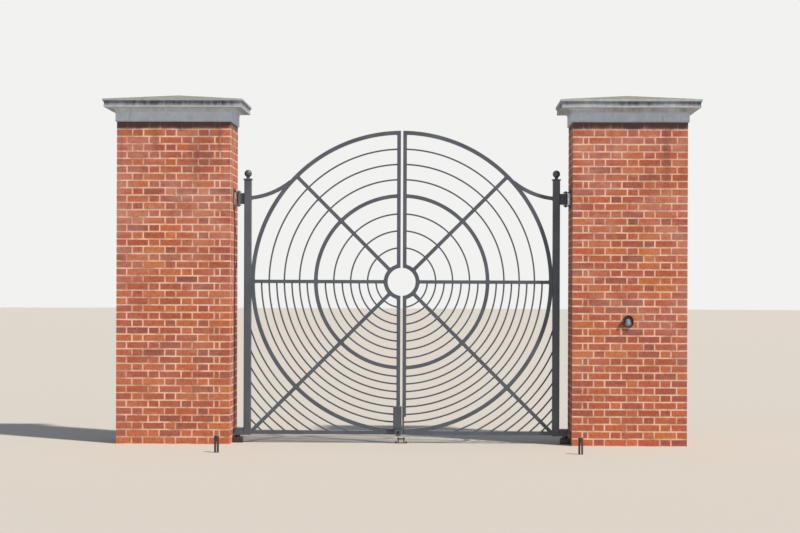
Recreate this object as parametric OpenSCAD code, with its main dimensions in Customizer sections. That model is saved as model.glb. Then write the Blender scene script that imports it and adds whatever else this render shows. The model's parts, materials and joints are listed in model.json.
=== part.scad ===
// Pair of steel driveway gate leaves hung between two brick piers with stone caps.
// Millimetres. X runs across the gateway, +Y away from the side the leaves open to, +Z up.
// The origin is on the ground at the middle of the gateway, in the plane of the leaves.
// Each leaf turns about a pin in the gap between its heel stile and the pier.

/* [Gateway] */
// Clear width between the two piers
clear_width = 3492; // [3484:2:3510]
// Height of the brickwork, ground to stone: 44 courses of 75
brick_height = 3300; // [3300:75:3600]
// Width of a pier, five and a quarter bricks
pier_width = 1171; // [900:1:1400]
// Depth of a pier, three bricks
pier_depth = 665; // [600:1:900]
// Distance from a pier's front face back to the plane of the leaves
gate_setback = 272; // [230:1:340]

/* [Stone cap] */
// Height of the frieze block
frieze_height = 140; // [100:5:180]
// Projection of the frieze block's upright face
frieze_out = 13; // [6:1:20]
// Radius of the cove that turns out under the slab
cove_r = 32; // [20:1:45]
// Height of the moulded edge of the slab
slab_height = 83; // [75:1:110]
// Projection of the slab's lower fascia
fascia_out = 118; // [100:1:120]
// Projection of the slab's top fillet
slab_out = 130; // [128:1:150]
// Rise of the weathered top to its point
weathering_rise = 80; // [60:1:140]

/* [Web of rings] */
// Height of the common centre of all the rings
ring_centre_z = 1669; // [1663:1:1675]
// Outer ring, radius of its centre line
outer_ring_r = 1543; // [1542:1:1554]
// Middle ring, radius of its centre line
mid_ring_r = 889; // [850:1:950]
// Hub ring, radius of its centre line
hub_ring_r = 165; // [150:1:180]
// Thin ring spaces between hub and middle ring in the open upper half
inner_spaces = 4; // [3:1:5]
// Thin ring spaces between middle and outer ring in the open upper half
outer_spaces = 4; // [3:1:5]
// Radial width of the outer ring
outer_ring_w = 40; // [38:1:46]
// Radial width of the middle ring
mid_ring_w = 38; // [30:1:50]
// Radial width of the hub ring
hub_ring_w = 41; // [36:1:56]
// Side of the square bar of the thin rings
thin_bar = 16; // [12:1:20]
// First arc beyond the outer ring in the bottom corner, radius of its centre line
corner_arc_r = 1640; // [1620:5:1670]
// Distance from one corner arc to the next
corner_arc_pitch = 79.5; // [70:0.5:90]

/* [Leaf frame] */
// Gap between the two leaves at the middle
leaf_gap = 24; // [22:1:28]
// Width and depth of the meeting stiles, diagonals and braces
bar = 38; // [34:1:42]
// Height below which a meeting stile narrows to a strip beside the lock
strip_top_z = 275; // [240:1:320]
// Width of that strip
strip_w = 18; // [12:1:24]
// Height of the middle rail
mid_rail_h = 36; // [30:1:44]
// Gap between a heel stile and its pier
heel_gap = 113; // [111:1:115]
// Side of the heel stile, a square box section
heel_side = 75; // [72:1:78]
// Outer corner radius of that box section
heel_corner_r = 8; // [4:1:12]
// Top of the heel stile
heel_top_z = 2721; // [2700:1:2800]
// Underside of the bottom rail
bottom_rail_z = 89; // [86:1:94]
// Height of the bottom rail
bottom_rail_h = 40; // [36:1:48]
// Depth of the bottom rail
bottom_rail_d = 50; // [44:1:56]
// Radius of the top brace, tangent to the outer ring at 45 degrees
brace_r = 785; // [740:5:800]
// Diameter of the ball on the heel stile
ball_d = 78; // [60:1:84]

/* [Hinges and stops] */
// Height of the middle of the top hinge
top_hinge_z = 2527; // [2500:1:2560]
// Distance of the turning axis outside the heel stile
axis_out = 60; // [58:1:61]
// Diameter of the top hinge pin
top_pin_d = 20; // [16:1:24]
// Diameter of the foot pivot
foot_pin_d = 30; // [24:1:34]
// Distance from the turning axis forward to the stop post
stop_post_reach = 1250; // [1100:10:1400]
// Gap between an open leaf and its stop post
stop_gap = 23; // [5:1:30]

/* [Hidden] */
$fn = 96;
ring_fn = 360;

brick_colour = "#b5593f";
stone_colour = "#b9bdc0";
steel_colour = "#5c6162";
lamp_colour = "#3a2f2a";
lens_colour = "#a9adb5";

// Places across the gateway, measured from its middle
pier_face = clear_width / 2;
pier_x = pier_face + pier_width / 2;
pier_y = pier_depth / 2 - gate_setback;
heel_out = pier_face - heel_gap;
heel_in = heel_out - heel_side;
axis_x = heel_out + axis_out;
axis_to_pier = pier_face - axis_x;
stile_in = leaf_gap / 2;
stile_out = stile_in + bar;
strip_out = stile_in + strip_w;
// Running clearance on the radius of a pin in its eye
running = 0.05;
// How far a cutting shape runs past the face that it cuts
over = 1;

// Inner and outer faces of the rings
hub_out_r = hub_ring_r + hub_ring_w / 2;
mid_in_r = mid_ring_r - mid_ring_w / 2;
mid_out_r = mid_ring_r + mid_ring_w / 2;
ring_in_r = outer_ring_r - outer_ring_w / 2;
ring_out_r = outer_ring_r + outer_ring_w / 2;
// Top of the bottom rail, measured from the ring centre
rail_top = bottom_rail_z + bottom_rail_h - ring_centre_z;
strip_top = strip_top_z - ring_centre_z;
// The top brace's thin end on the outer ring is cut off at this angle
brace_tip = 42;
// Slab edge: rounding of its hollow, heights of its lower fascia and top fillet
slab_hollow_r = 40;
fascia_height = 16;
fillet_height = 18;

// Top hinge: wall plate, lugs above and below the eye, fixed pin
hinge_plate = [12, 110, 200];
lug_r = 26;
lug_t = 12;
lug_z = 62;
pin_proud = 6;
eye_play = 5;
eye_height = 2 * (lug_z - eye_play);
eye_wall = 12;
eye_web = 16;

// Foot pivot: block, collar and spigot, and the shoe that turns on them
pivot_block = [104, 110, 50];
collar_d = 56;
spigot_h = 40;
shoe_z = 80;
shoe_lift = 0.3;
shoe_end = 28;
shoe_plate_t = 20;
shoe_cheek_h = 55;
spigot_play = 5;
shoe_bore_h = spigot_h + spigot_play;

// Cap and neck under the ball
cap_plate_t = 12;
cap_plate_out = 9;
neck_d = 40;
neck_h = 20;
ball_sink = 5;

// Stop posts
post_d = 48;
post_h = 165;
post_chamfer = 6;

// Keep on the ground: plate with two ears
keep_plate = [130, 90, 8];
ear = [12, 50, 54];
ear_gap = 46;

// Lock on the left leaf: case, and an eye plate below it. Strike on the right leaf.
case_size = [87, 60, 234];
case_edge = 6;
case_z = 151;
eye_plate_w = 72;
eye_plate_t = 30;
eye_plate_back = 8;
eye_hole_d = 36;
eye_drop = 40;
strike_size = [38, 45, 110];

// Lamp on the front of the right pier: oval plate, hood over it, domed lens.
// The ovals are two half circles, lamp_up above and below the middle.
lamp_x = 2314;
lamp_z = 1270;
lamp_up = 14;
lamp_plate_r = 47;
lamp_plate_t = 14;
hood_r = 50;
hood_wall = 4;
hood_reach = 54;
hood_drop_back = 40;
hood_drop_front = 9;
lens_r = 38;
lens_sink = 12;

// Thin rings share the clear space between two thick rings equally.
// The lower half has twice as many as the upper half.
function spread(r0, r1, spaces, every) =
    let (step = (r1 - r0 + thin_bar) / (2 * spaces))
    [for (i = [every : every : 2 * spaces - 1]) r0 - thin_bar / 2 + i * step];
function thin_radii(every) = concat(
    spread(hub_out_r, mid_in_r, inner_spaces, every),
    spread(mid_out_r, ring_in_r, outer_spaces, every)
);
// Arcs that go on beyond the outer ring into the bottom corner
corner_reach = norm([heel_in, rail_top]) - bar;
corner_radii = [for (r = [corner_arc_r : corner_arc_pitch : corner_reach]) r];

// Pieces are drawn for the right side and mirrored for the left
module side(s) {
    mirror([s == "left" ? 1 : 0, 0, 0]) children();
}

module both_sides() {
    for (s = ["left", "right"]) side(s) children();
}

// Stands a drawing centred on the rings upright, as a plate of depth d
module upright(d) {
    translate([0, d / 2, ring_centre_z])
        rotate([90, 0, 0])
            linear_extrude(d) children();
}

module band(r, w) {
    difference() {
        circle(r + w / 2, $fn = ring_fn);
        circle(r - w / 2, $fn = ring_fn);
    }
}

// Keeps what lies between two circles about the ring centre
module between(r0, r1) {
    difference() {
        intersection() {
            children();
            circle(r1, $fn = ring_fn);
        }
        circle(r0, $fn = ring_fn);
    }
}

// Straight diagonal bar at 45 degrees out from the ring centre
module ray(down) {
    rotate(down ? -45 : 45)
        translate([0, -bar / 2])
            square([2 * outer_ring_r, bar]);
}

// Open field of the leaf on one side of the middle rail, less its diagonal
module field(down) {
    reach = 2 * outer_ring_r;
    difference() {
        union() {
            translate([stile_out, down ? -reach : mid_rail_h / 2])
                square([reach, reach - mid_rail_h / 2]);
            if (down) translate([strip_out, -reach]) square([reach, reach + strip_top]);
        }
        ray(down);
    }
}

// Bottom corner between heel stile and bottom rail
module bottom_corner() {
    translate([0, rail_top]) square([heel_in, -rail_top]);
}

module brick_pier() {
    color(brick_colour)
        translate([pier_face, -gate_setback, 0])
            cube([pier_width, pier_depth, brick_height]);
}

// Circle that hollows the straight edge from p to q of an outline
module hollow(p, q, r) {
    along = (q - p) / norm(q - p);
    away = sqrt(r * r - norm(q - p) * norm(q - p) / 4);
    translate((p + q) / 2 + away * [along.y, -along.x]) circle(r, $fn = ring_fn);
}

// Frieze: upright face with a cove above it
module frieze_section(half) {
    low = [half + frieze_out, frieze_height - cove_r];
    high = [half + frieze_out + cove_r, frieze_height];
    difference() {
        polygon([[-low.x, 0], [low.x, 0], low, high, [-high.x, high.y], [-low.x, low.y]]);
        for (m = [0, 1]) mirror([m, 0]) hollow(low, high, cove_r);
    }
}

// Slab: lower fascia, hollow moulding, top fillet and a low weathered top
module slab_section(half) {
    low = [half + fascia_out, fascia_height];
    high = [half + slab_out, slab_height - fillet_height];
    difference() {
        polygon([
            [-low.x, 0], [low.x, 0], low, high, [high.x, slab_height],
            [0, slab_height + weathering_rise],
            [-high.x, slab_height], [-high.x, high.y], [-low.x, low.y]
        ]);
        for (m = [0, 1]) mirror([m, 0]) hollow(low, high, slab_hollow_r);
    }
}

// Runs one section front to back and one across, and keeps what they share,
// so that the moulding is mitred at the corners. The first child is across.
module mitred() {
    translate([pier_x, pier_y, 0])
        intersection() {
            translate([0, pier_depth, 0]) rotate([90, 0, 0])
                linear_extrude(2 * pier_depth) children(0);
            translate([-pier_width, 0, 0]) rotate([90, 0, 90])
                linear_extrude(2 * pier_width) children(1);
        }
}

module cap_frieze() {
    color(stone_colour)
        translate([0, 0, brick_height]) mitred() {
            frieze_section(pier_width / 2);
            frieze_section(pier_depth / 2);
        }
}

module cap_slab() {
    color(stone_colour)
        translate([0, 0, brick_height + frieze_height]) mitred() {
            slab_section(pier_width / 2);
            slab_section(pier_depth / 2);
        }
}

// Plate on the pier with two lugs that hold the hinge pin
module hinge_bracket() {
    face = axis_to_pier - hinge_plate.x;
    pin_end = lug_z + lug_t + pin_proud;
    color(steel_colour)
        translate([axis_x, 0, top_hinge_z]) {
            translate([face, -hinge_plate.y / 2, -hinge_plate.z / 2]) cube(hinge_plate);
            for (z = [-lug_z - lug_t, lug_z]) translate([0, 0, z]) {
                cylinder(r = lug_r, h = lug_t);
                translate([0, -lug_r, 0]) cube([face, 2 * lug_r, lug_t]);
            }
            translate([0, 0, -pin_end]) cylinder(d = top_pin_d, h = 2 * pin_end);
        }
}

// Eye on the heel stile that turns on the pin
module hinge_eye() {
    color(steel_colour)
        translate([axis_x, 0, top_hinge_z - eye_height / 2])
            difference() {
                union() {
                    cylinder(d = top_pin_d + 2 * eye_wall, h = eye_height);
                    translate([-axis_out, -eye_web / 2, 0]) cube([axis_out, eye_web, eye_height]);
                }
                translate([0, 0, -over])
                    cylinder(d = top_pin_d + 2 * running, h = eye_height + 2 * over);
            }
}

// Block on the ground with a collar and a spigot that the shoe turns on
module pivot_base() {
    color(steel_colour)
        translate([axis_x, 0, 0]) {
            translate([-pivot_block.x / 2, -pivot_block.y / 2, 0]) cube(pivot_block);
            cylinder(d = collar_d, h = shoe_z - shoe_lift);
            cylinder(d = foot_pin_d, h = shoe_z + spigot_h);
        }
}

// Shoe under the heel stile, bored from below for the spigot
module foot_shoe() {
    color(steel_colour)
        difference() {
            union() {
                translate([heel_in, -heel_side / 2, shoe_z])
                    cube([heel_side + axis_out + shoe_end, heel_side, shoe_plate_t]);
                translate([heel_out, -heel_side / 2, shoe_z + shoe_plate_t])
                    cube([axis_out + shoe_end, heel_side, shoe_cheek_h]);
            }
            translate([axis_x, 0, shoe_z - over])
                cylinder(d = foot_pin_d + 2 * running, h = shoe_bore_h + over);
        }
}

// Post that an open leaf comes to rest against
module stop_post() {
    color(steel_colour)
        translate([axis_x + bottom_rail_d / 2 + stop_gap + post_d / 2, -stop_post_reach, 0]) {
            cylinder(d = post_d, h = post_h - post_chamfer);
            translate([0, 0, post_h - post_chamfer])
                cylinder(d1 = post_d, d2 = post_d - 2 * post_chamfer, h = post_chamfer);
        }
}

module centre_keep() {
    color(steel_colour) {
        translate([-keep_plate.x / 2, -keep_plate.y / 2, 0]) cube(keep_plate);
        for (x = [-ear_gap / 2 - ear.x, ear_gap / 2])
            translate([x, -ear.y / 2, keep_plate.z]) cube(ear);
    }
}

module lamp_oval(r) {
    for (z = [-lamp_up, lamp_up]) translate([0, z]) circle(r);
    translate([-r, -lamp_up]) square([2 * r, 2 * lamp_up]);
}

module hood_arch(r) {
    translate([0, lamp_up]) circle(r);
    translate([-r, -hood_drop_back]) square([2 * r, hood_drop_back + lamp_up]);
}

// Plate and hood of the lamp. The hood's lower edge rises towards the front.
module wall_light() {
    color(lamp_colour)
        translate([lamp_x, -gate_setback, lamp_z]) {
            rotate([90, 0, 0]) linear_extrude(lamp_plate_t) lamp_oval(lamp_plate_r);
            difference() {
                rotate([90, 0, 0]) linear_extrude(hood_reach) difference() {
                    hood_arch(hood_r);
                    hood_arch(hood_r - hood_wall);
                }
                translate([-2 * hood_r, 0, 0]) rotate([90, 0, 90]) linear_extrude(4 * hood_r)
                    polygon([
                        [over, -hood_drop_back], [-hood_reach - over, -hood_drop_front],
                        [-hood_reach - over, -2 * hood_r], [over, -2 * hood_r]
                    ]);
            }
        }
}

// Domed lens: a rounded bar sunk into the plate
module light_lens() {
    color(lens_colour)
        translate([lamp_x, lens_sink - gate_setback - lamp_plate_t, lamp_z])
            intersection() {
                union() {
                    translate([0, 0, -lamp_up]) cylinder(r = lens_r, h = 2 * lamp_up);
                    for (z = [-lamp_up, lamp_up]) translate([0, 0, z]) sphere(r = lens_r);
                }
                translate([-2 * lens_r, -2 * lens_r, -2 * lens_r])
                    cube([4 * lens_r, 2 * lens_r - lens_sink, 4 * lens_r]);
            }
}

// Box section with rounded corners, standing on the shoe's plate
module heel_stile() {
    foot = shoe_z + shoe_plate_t;
    flat = heel_side - 2 * heel_corner_r;
    color(steel_colour)
        translate([(heel_in + heel_out) / 2, 0, foot])
            linear_extrude(heel_top_z - foot) {
                for (x = [-flat / 2, flat / 2], y = [-flat / 2, flat / 2])
                    translate([x, y]) circle(heel_corner_r);
                square([flat, heel_side], center = true);
                square([heel_side, flat], center = true);
            }
}

module ball_finial() {
    plate = heel_side + 2 * cap_plate_out;
    ball_z = cap_plate_t + neck_h + ball_d / 2 - ball_sink;
    color(steel_colour)
        translate([(heel_in + heel_out) / 2, 0, heel_top_z]) {
            translate([-plate / 2, -plate / 2, 0]) cube([plate, plate, cap_plate_t]);
            cylinder(d = neck_d, h = ball_z);
            translate([0, 0, ball_z]) sphere(d = ball_d);
        }
}

module bottom_rail() {
    color(steel_colour)
        translate([strip_out, -bottom_rail_d / 2, bottom_rail_z])
            cube([heel_in - strip_out, bottom_rail_d, bottom_rail_h]);
}

module middle_rail() {
    color(steel_colour)
        upright(bar) between(hub_out_r, ring_in_r)
            translate([0, -mid_rail_h / 2]) square([outer_ring_r, mid_rail_h]);
}

// Meeting stile: one length above the hub ring and one below, which ends in the strip
module meeting_stile() {
    foot = bottom_rail_z - ring_centre_z;
    color(steel_colour)
        upright(bar) {
            between(hub_out_r, ring_in_r)
                translate([stile_in, 0]) square([bar, outer_ring_r]);
            between(hub_out_r, 2 * outer_ring_r) {
                translate([stile_in, strip_top]) square([bar, -strip_top]);
                translate([stile_in, foot]) square([strip_w, -foot]);
            }
        }
}

module hub_ring() {
    color(steel_colour)
        upright(bar) intersection() {
            band(hub_ring_r, hub_ring_w);
            translate([stile_in, -mid_ring_r]) square([mid_ring_r, 2 * mid_ring_r]);
        }
}

// Middle ring, cut by the middle rail and the diagonals
module middle_ring() {
    color(steel_colour)
        upright(bar) for (down = [false, true]) intersection() {
            band(mid_ring_r, mid_ring_w);
            field(down);
        }
}

// Half of the outer ring, let into the heel stile and the bottom rail
module outer_ring() {
    color(steel_colour)
        upright(bar) intersection() {
            band(outer_ring_r, outer_ring_w);
            union() {
                translate([strip_out, rail_top]) square([heel_in - strip_out, 2 * outer_ring_r]);
                translate([stile_in, 0]) square([heel_in - stile_in, 2 * outer_ring_r]);
            }
        }
}

// Brace that leaves the outer ring near 45 degrees and bends out to the heel stile
module top_brace() {
    centre = (outer_ring_r + brace_r) * cos(45);
    color(steel_colour)
        upright(bar) difference() {
            intersection() {
                translate([centre, centre]) band(brace_r, bar);
                polygon([[0, 0], [heel_in, 0], [heel_in, heel_in * tan(brace_tip)]]);
            }
            circle(ring_out_r, $fn = ring_fn);
        }
}

// Thin rings between the diagonal, the rails and the stiles
module thin_rings(down, radii) {
    upright(thin_bar) intersection() {
        for (r = radii) band(r, thin_bar);
        field(down);
    }
}

// Quarter of the web between hub and outer ring: a diagonal and the thin rings it carries
module web(down, radii) {
    color(steel_colour) {
        upright(bar) between(hub_out_r, ring_in_r) ray(down);
        thin_rings(down, radii);
    }
}

module upper_web() {
    web(false, thin_radii(2));
}

module lower_web() {
    web(true, thin_radii(1));
}

// The lower diagonal and its rings, carried on beyond the outer ring into the corner
module corner_web() {
    color(steel_colour) {
        upright(bar) between(ring_out_r, 2 * outer_ring_r) intersection() {
            ray(true);
            bottom_corner();
        }
        intersection() {
            thin_rings(true, corner_radii);
            upright(bar) bottom_corner();
        }
    }
}

// Flat case with a rounded eye plate below it
module lock_case() {
    color(steel_colour) {
        translate([case_edge - case_size.x, -bar / 2 - case_size.y, case_z]) cube(case_size);
        translate([case_edge - eye_plate_w / 2, -bar / 2 - eye_plate_back, case_z - eye_drop])
            rotate([90, 0, 0]) difference() {
                union() {
                    cylinder(d = eye_plate_w, h = eye_plate_t);
                    translate([-eye_plate_w / 2, 0, 0]) cube([eye_plate_w, eye_drop, eye_plate_t]);
                }
                translate([0, 0, -over]) cylinder(d = eye_hole_d, h = eye_plate_t + 2 * over);
            }
    }
}

// Strike on the right leaf that closes beside the lock case
module lock_strike() {
    color(steel_colour)
        translate([stile_in, -bar / 2 - strike_size.y, strip_top_z]) cube(strike_size);
}

side("left") brick_pier();  // left_pier
side("right") brick_pier();  // right_pier
side("left") cap_frieze();  // left_cap_frieze
side("right") cap_frieze();  // right_cap_frieze
side("left") cap_slab();  // left_cap_slab
side("right") cap_slab();  // right_cap_slab
side("left") hinge_bracket();  // left_hinge_bracket
side("right") hinge_bracket();  // right_hinge_bracket
both_sides() pivot_base();  // pivot_bases
both_sides() stop_post();  // stop_posts
centre_keep();
wall_light();
light_lens();
side("left") heel_stile();  // left_heel_stile
side("right") heel_stile();  // right_heel_stile
side("left") ball_finial();  // left_ball_finial
side("right") ball_finial();  // right_ball_finial
side("left") hinge_eye();  // left_hinge_eye
side("right") hinge_eye();  // right_hinge_eye
side("left") foot_shoe();  // left_foot_shoe
side("right") foot_shoe();  // right_foot_shoe
side("left") bottom_rail();  // left_bottom_rail
side("right") bottom_rail();  // right_bottom_rail
side("left") middle_rail();  // left_middle_rail
side("right") middle_rail();  // right_middle_rail
side("left") meeting_stile();  // left_meeting_stile
side("right") meeting_stile();  // right_meeting_stile
side("left") hub_ring();  // left_hub_ring
side("right") hub_ring();  // right_hub_ring
side("left") middle_ring();  // left_middle_ring
side("right") middle_ring();  // right_middle_ring
side("left") outer_ring();  // left_outer_ring
side("right") outer_ring();  // right_outer_ring
side("left") top_brace();  // left_top_brace
side("right") top_brace();  // right_top_brace
side("left") upper_web();  // left_upper_web
side("right") upper_web();  // right_upper_web
side("left") lower_web();  // left_lower_web
side("right") lower_web();  // right_lower_web
side("left") corner_web();  // left_corner_web
side("right") corner_web();  // right_corner_web
lock_case();  // left_lock_case
lock_strike();  // right_lock_strike
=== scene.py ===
# %% [markdown]
# # A pair of driveway gates between brick piers
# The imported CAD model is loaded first. It fixes every size and every turning axis, so nothing
# below moves or rescales it. This file then adds what the eye expects: single bricks in pale
# mortar, weathered stone, satin paint on steel, fixings, light and a camera.

# %% Load the frame
import json
import math
import bpy
import numpy as np
from mathutils import Matrix, Vector


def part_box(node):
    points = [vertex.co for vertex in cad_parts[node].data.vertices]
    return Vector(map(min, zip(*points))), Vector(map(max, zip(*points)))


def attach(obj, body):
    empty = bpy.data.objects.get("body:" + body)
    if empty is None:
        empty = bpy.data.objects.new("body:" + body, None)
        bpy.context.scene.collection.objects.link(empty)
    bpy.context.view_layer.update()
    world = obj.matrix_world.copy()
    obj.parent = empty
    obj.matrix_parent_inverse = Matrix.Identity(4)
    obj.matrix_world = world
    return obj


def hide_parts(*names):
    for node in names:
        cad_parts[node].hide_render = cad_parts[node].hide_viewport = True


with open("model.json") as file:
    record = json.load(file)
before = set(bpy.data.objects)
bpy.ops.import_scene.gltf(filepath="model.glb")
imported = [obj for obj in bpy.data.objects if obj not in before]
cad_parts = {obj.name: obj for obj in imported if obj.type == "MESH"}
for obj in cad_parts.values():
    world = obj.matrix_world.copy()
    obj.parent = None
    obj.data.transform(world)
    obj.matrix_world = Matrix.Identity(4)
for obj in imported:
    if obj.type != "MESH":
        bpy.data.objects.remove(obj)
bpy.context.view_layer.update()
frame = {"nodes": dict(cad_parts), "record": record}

nodes = frame["nodes"]

# %% [markdown]
# ## Small helpers
# Drawings of a gate are in millimetres and Blender works in metres, so one factor turns one into
# the other. An operator acts on everything that is selected, so each piece starts by clearing
# the selection. A finished piece has its place in its mesh, as the CAD nodes have.

# %% Helpers for pieces
MM = 0.001
SMOOTH_ANGLE = math.radians(35)


def deselect():
    if bpy.context.object and bpy.context.object.mode != "OBJECT":
        bpy.ops.object.mode_set(mode="OBJECT")
    bpy.ops.object.select_all(action="DESELECT")


def pick(piece):
    """Selects one piece and nothing else."""
    deselect()
    piece.select_set(True)
    bpy.context.view_layer.objects.active = piece


def settle(piece):
    """Puts a piece's place, turn and scale into its mesh."""
    pick(piece)
    bpy.ops.object.transform_apply(location=True, rotation=True, scale=True)
    return piece


def join(pieces, name):
    """Joins several pieces into one mesh."""
    deselect()
    for piece in pieces:
        piece.select_set(True)
    bpy.context.view_layer.objects.active = pieces[0]
    if len(pieces) > 1:
        bpy.ops.object.join()
    pieces[0].name = name
    return pieces[0]


def copy_at(piece, place):
    """A copy with its own mesh, moved by a matrix."""
    twin = piece.copy()
    twin.data = piece.data.copy()
    twin.data.transform(place)
    bpy.context.scene.collection.objects.link(twin)
    return twin


def block(name, size, centre, rounding, segments=1):
    """A box in millimetres with all its edges worn or rounded."""
    deselect()
    bpy.ops.mesh.primitive_cube_add(size=1, location=[v * MM for v in centre])
    piece = bpy.context.object
    piece.name = name
    piece.scale = [v * MM for v in size]
    settle(piece)
    bpy.ops.object.mode_set(mode="EDIT")
    bpy.ops.mesh.select_all(action="SELECT")
    bpy.ops.mesh.bevel(offset=rounding * MM, segments=segments, affect="EDGES")
    bpy.ops.object.mode_set(mode="OBJECT")
    return piece


def turned(name, profile, sides=32):
    """A piece turned about Z, from pairs of radius and height in millimetres."""
    deselect()
    radius, height = profile[0]
    bpy.ops.mesh.primitive_circle_add(vertices=sides, radius=radius * MM, fill_type="NGON",
                                      location=(0, 0, height * MM))
    piece = bpy.context.object
    piece.name = name
    settle(piece)
    bpy.ops.object.mode_set(mode="EDIT")
    bpy.ops.mesh.select_all(action="SELECT")
    for wider, higher in profile[1:]:
        bpy.ops.mesh.extrude_region_move(TRANSFORM_OT_translate={"value": (0, 0, (higher - height) * MM)})
        grow = wider / radius
        bpy.ops.transform.resize(value=(grow, grow, 1), center_override=(0, 0, 0))
        radius, height = wider, higher
    bpy.ops.mesh.select_all(action="SELECT")
    bpy.ops.mesh.normals_make_consistent(inside=False)
    bpy.ops.object.mode_set(mode="OBJECT")
    bpy.ops.object.shade_smooth_by_angle(angle=SMOOTH_ANGLE)
    return piece


def corners_of(node):
    """The lowest and the highest corner of a CAD node's box, in metres."""
    low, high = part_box(node)
    return Vector(low), Vector(high)


def hand_over(piece, body, material=None, stands_for=()):
    """Gives a piece its body and its finish, and hides the CAD nodes that it stands for."""
    if material:
        piece.data.materials.clear()
        piece.data.materials.append(material)
    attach(piece, body)
    if stands_for:
        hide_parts(*stands_for)
    print(piece.name, "has", len(piece.data.polygons), "faces")
    return piece


# %% [markdown]
# ## The camera
# The photograph was taken from 19.5 metres away, less than half a metre right of the middle, at
# the height of a standing adult. The piers' edges are upright in it, so the camera looks level
# and the lens is shifted up instead of tilted. It is turned a little to the left and rolled by a
# fifth of a degree. With these few numbers the edges fall where the photograph has them.

# %% Camera
SENSOR_WIDTH, FOCAL_LENGTH, SHIFTED_UP = 36, 84.9, 0.0304
STANDS_AT = (0.428, -19.527, 1.576)
TURNED_LEFT, ROLLED = math.radians(1.304), math.radians(0.202)
FURTHEST_SEEN = 400

camera_data = bpy.data.cameras.new("photo_camera")
camera_data.sensor_width = SENSOR_WIDTH
camera_data.lens = FOCAL_LENGTH
camera_data.shift_y = SHIFTED_UP
camera_data.clip_end = FURTHEST_SEEN
camera = bpy.data.objects.new("photo_camera", camera_data)
bpy.context.scene.collection.objects.link(camera)
bpy.context.scene.camera = camera

level = Matrix.Rotation(TURNED_LEFT, 4, "Z") @ Matrix.Rotation(math.radians(90), 4, "X")
camera.matrix_world = Matrix.Translation(STANDS_AT) @ level @ Matrix.Rotation(ROLLED, 4, "Z")
print("camera at", [round(v, 3) for v in camera.matrix_world.translation])

# %% [markdown]
# ## Studio floor and light
# One large soft lamp stands in for the sun at the front right, and an even pale world fills the
# shade. The shadow of the wall light on the right pier gives the direction: it falls to the left
# and a little more downwards. The soft lamp is wide, so shadows have soft edges. The world shows
# white only to the camera, to gloss and to glass, so the background is pale without more light on
# the object.

# %% Colours and nodes
def linear(hex_colour, alpha=1.0):
    """sRGB hex to the linear values that Blender works with."""
    parts = [int(hex_colour[i:i + 2], 16) / 255 for i in (1, 3, 5)]
    return tuple(
        [p / 12.92 if p <= 0.04045 else ((p + 0.055) / 1.055) ** 2.4 for p in parts] + [alpha]
    )


def add_node(tree, kind, settings=None, links=None):
    """Adds a node, sets its values and links its inputs from (node, output)."""
    node = tree.nodes.new(kind)
    for key, value in (settings or {}).items():
        if key == "stops":
            while len(node.color_ramp.elements) < len(value):
                node.color_ramp.elements.new(0.5)
            for element, (place, colour) in zip(node.color_ramp.elements, value):
                element.position = place
                element.color = linear(colour)
        elif isinstance(key, int) or key in node.inputs:
            node.inputs[key].default_value = value
        else:
            setattr(node, key, value)
    for key, (source, output) in (links or {}).items():
        tree.links.new(source.outputs[output], node.inputs[key])
    return node


def new_material(name, colour, **constants):
    """A material with one Principled shader, whose constant values sit on its own sockets."""
    material = bpy.data.materials.new(name)
    material.use_nodes = True
    material.diffuse_color = linear(colour)
    tree = material.node_tree
    shader = tree.nodes["Principled BSDF"]
    shader.inputs["Base Color"].default_value = linear(colour)
    for key, value in constants.items():
        shader.inputs[key.replace("_", " ")].default_value = value
    return material, tree, shader


# %% Floor
FLOOR_RADIUS = 150

deselect()
bpy.ops.mesh.primitive_circle_add(vertices=96, radius=FLOOR_RADIUS, fill_type="NGON")
floor = bpy.context.object
floor.name = "studio_floor"
floor.data.materials.append(new_material("matt_studio_floor", "#c0bdb8", Roughness=0.95)[0])
print("the floor reaches", FLOOR_RADIUS, "metres out")

# %% World
FILL_STRENGTH = 0.33

world = bpy.data.worlds.new("studio_world")
bpy.context.scene.world = world
world.use_nodes = True
sky = world.node_tree
sky.nodes.clear()
rays = add_node(sky, "ShaderNodeLightPath")
seen = add_node(sky, "ShaderNodeMath", {"operation": "MAXIMUM"},
                {0: (rays, "Is Camera Ray"), 1: (rays, "Is Transmission Ray")})
seen_or_mirrored = add_node(sky, "ShaderNodeMath", {"operation": "MAXIMUM"},
                            {0: (seen, "Value"), 1: (rays, "Is Glossy Ray")})
fill = add_node(sky, "ShaderNodeBackground", {"Color": linear("#d9e7fb"), "Strength": FILL_STRENGTH})
backdrop = add_node(sky, "ShaderNodeBackground", {"Color": linear("#f2f2f0"), "Strength": 1.0})
shown = add_node(sky, "ShaderNodeMixShader", {},
                 {0: (seen_or_mirrored, "Value"), 1: (fill, "Background"), 2: (backdrop, "Background")})
add_node(sky, "ShaderNodeOutputWorld", {}, {"Surface": (shown, "Shader")})
bpy.context.scene.view_settings.view_transform = "Standard"
print("the world has", len(sky.nodes), "nodes")

# %% Lamp
LAMP_ENERGY, LAMP_WIDTH = 4.7, math.radians(3)
FROM_RIGHT, ABOVE = math.radians(52), math.radians(47)

lamp_data = bpy.data.lights.new("soft_key", "SUN")
lamp_data.energy = LAMP_ENERGY
lamp_data.angle = LAMP_WIDTH
lamp_data.color = linear("#fff3e4")[:3]
lamp = bpy.data.objects.new("soft_key", lamp_data)
bpy.context.scene.collection.objects.link(lamp)
towards_lamp = Vector((
    math.sin(FROM_RIGHT) * math.cos(ABOVE), -math.cos(FROM_RIGHT) * math.cos(ABOVE), math.sin(ABOVE)
))
lamp.rotation_euler = towards_lamp.to_track_quat("Z", "Y").to_euler()
print("the lamp stands", round(math.degrees(ABOVE)), "degrees above the floor")
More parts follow.
